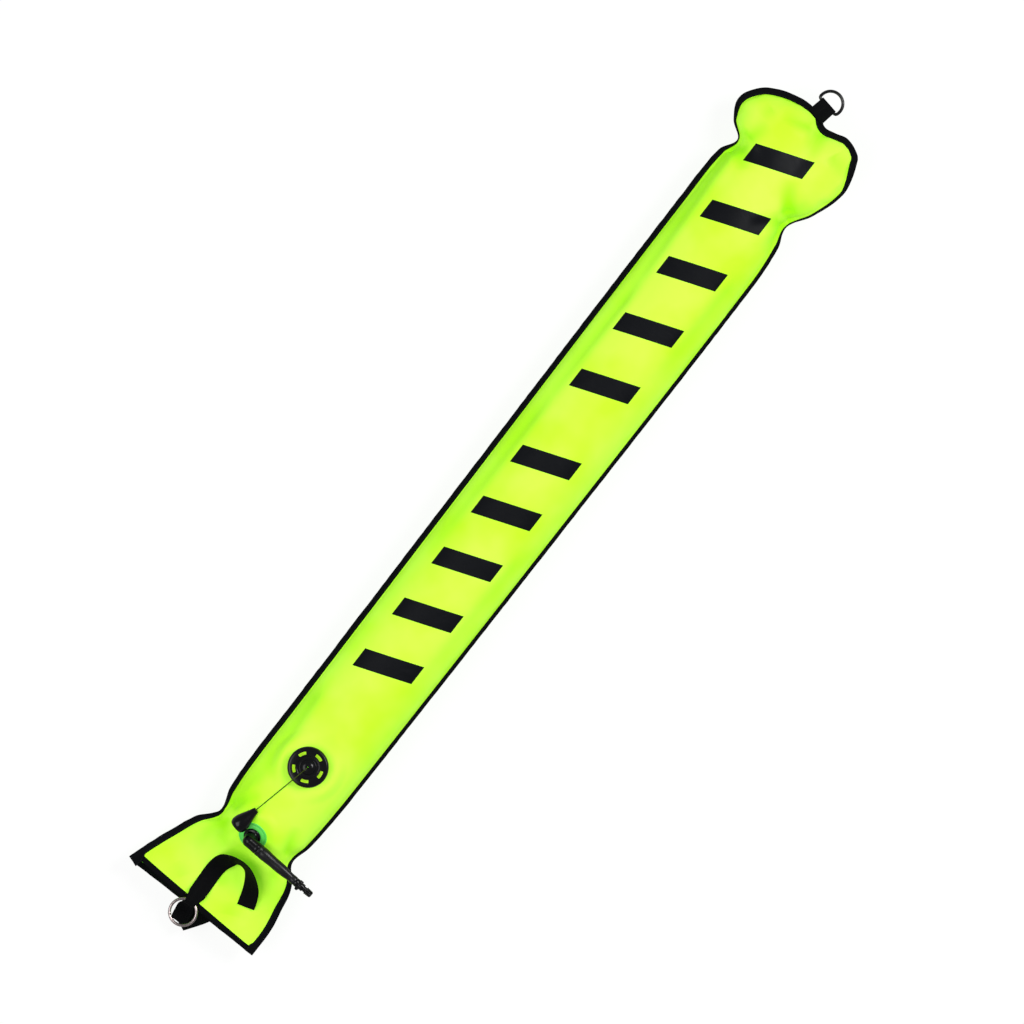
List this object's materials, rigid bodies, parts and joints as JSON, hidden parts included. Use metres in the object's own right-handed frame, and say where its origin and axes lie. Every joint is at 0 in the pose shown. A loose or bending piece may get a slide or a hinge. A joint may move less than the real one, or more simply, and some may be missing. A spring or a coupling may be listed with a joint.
{
  "type": "surface marker buoy",
  "caption": "Inflated diver's marker tube of coated fabric with an open tail skirt, self-sealing sleeve, dump valve with pull cord, oral inflator, tail strap with ring and head D-ring.",
  "frame": {"origin": "middle of the flat patch of the back panel that the buoy rests on, halfway along the fabric", "axes": "+X towards the head with the D-ring, +Y towards the left edge with the head up, +Z out of the front with the valves"},
  "size_m": [1.5994, 0.252, 0.1412],
  "materials": {
    "fabric": "coated nylon, satin, fluorescent yellow-green",
    "binding": "folded woven tape, matte black",
    "webbing": "woven webbing, matte black",
    "valve_flange": "smooth welded TPU",
    "green_patch": "translucent green TPU",
    "black_plastic": "moulded black plastic, glossy",
    "rubber": "black rubber, satin",
    "silicone": "grey silicone",
    "spring_steel": "drawn wire",
    "steel": "polished stainless steel",
    "black_metal": "black coated wire",
    "cord": "braided line, dark olive"
  },
  "bodies": {
    "buoy": {"front_panel": "fabric", "back_panel": "fabric", "edge_binding_left": "binding", "edge_binding_right": "binding", "front_hem_binding": "binding", "back_hem_binding": "binding", "duckbill_front": "fabric", "duckbill_back": "fabric", "dump_valve_flange": "valve_flange", "dump_valve_gasket": "rubber", "dump_valve_cap": "black_plastic", "dump_valve_spring": "spring_steel", "pull_cord": "cord", "inflator_flange": "green_patch", "tail_strap": "webbing", "head_tab": "webbing"},
    "dump_poppet": {"dump_valve_poppet": "black_plastic", "dump_valve_seal": "silicone"},
    "pull_knob": {"pull_knob": "black_plastic"},
    "inflator": {"inflator_elbow": "black_plastic", "inflator_hose": "rubber", "inflator_barrel": "black_plastic"},
    "lock_ring": {"lock_ring": "black_plastic"},
    "mouthpiece": {"mouthpiece": "black_plastic", "mouthpiece_seal": "silicone"},
    "head_d_ring": {"head_d_ring": "black_metal"},
    "tail_ring": {"tail_ring": "steel"}
  },
  "joints": [
    {"name": "dump_pull", "type": "slide", "parent": "buoy", "child": "pull_knob", "axis": [-0.9687, 0.2059, -0.1386], "range_m": [0, 0.003], "stiffness_N_per_m": 100, "springref_m": -0.004},
    {"name": "dump_poppet_lift", "type": "slide", "parent": "buoy", "child": "dump_poppet", "axis": [-0.0069, 0, 1], "range_m": [0, 0.003], "stiffness_N_per_m": 100, "springref_m": -0.004, "deforming": ["dump_valve_spring"]},
    {"name": "inflator_swivel", "type": "hinge", "parent": "buoy", "child": "inflator", "pos_m": [-0.61717, 0.005, 0.09542], "axis": [-0.5521, 0, 0.8338], "range_deg": [-20, 60]},
    {"name": "lock_ring_turn", "type": "hinge", "parent": "inflator", "child": "lock_ring", "pos_m": [-0.62655, 0.005, 0.10959], "axis": [0.0582, 0.9976, 0.0385], "range_deg": [0, 90]},
    {"name": "mouthpiece_push", "type": "slide", "parent": "inflator", "child": "mouthpiece", "axis": [0.0582, 0.9976, 0.0385], "range_m": [0, 0.004], "stiffness_N_per_m": 200, "springref_m": -0.003},
    {"name": "head_ring_swing", "type": "hinge", "parent": "buoy", "child": "head_d_ring", "pos_m": [0.77444, -0.007, 0.05925], "axis": [0.1908, 0.9816, 0], "range_deg": [-90, 90]},
    {"name": "tail_ring_swing", "type": "hinge", "parent": "buoy", "child": "tail_ring", "pos_m": [-0.753, 0.018, 0.05551], "axis": [0, 1, 0], "range_deg": [0, 100]}
  ],
  "couplings": [
    {"joint": "dump_poppet_lift", "follows": "dump_pull", "ratio": 1}
  ]
}
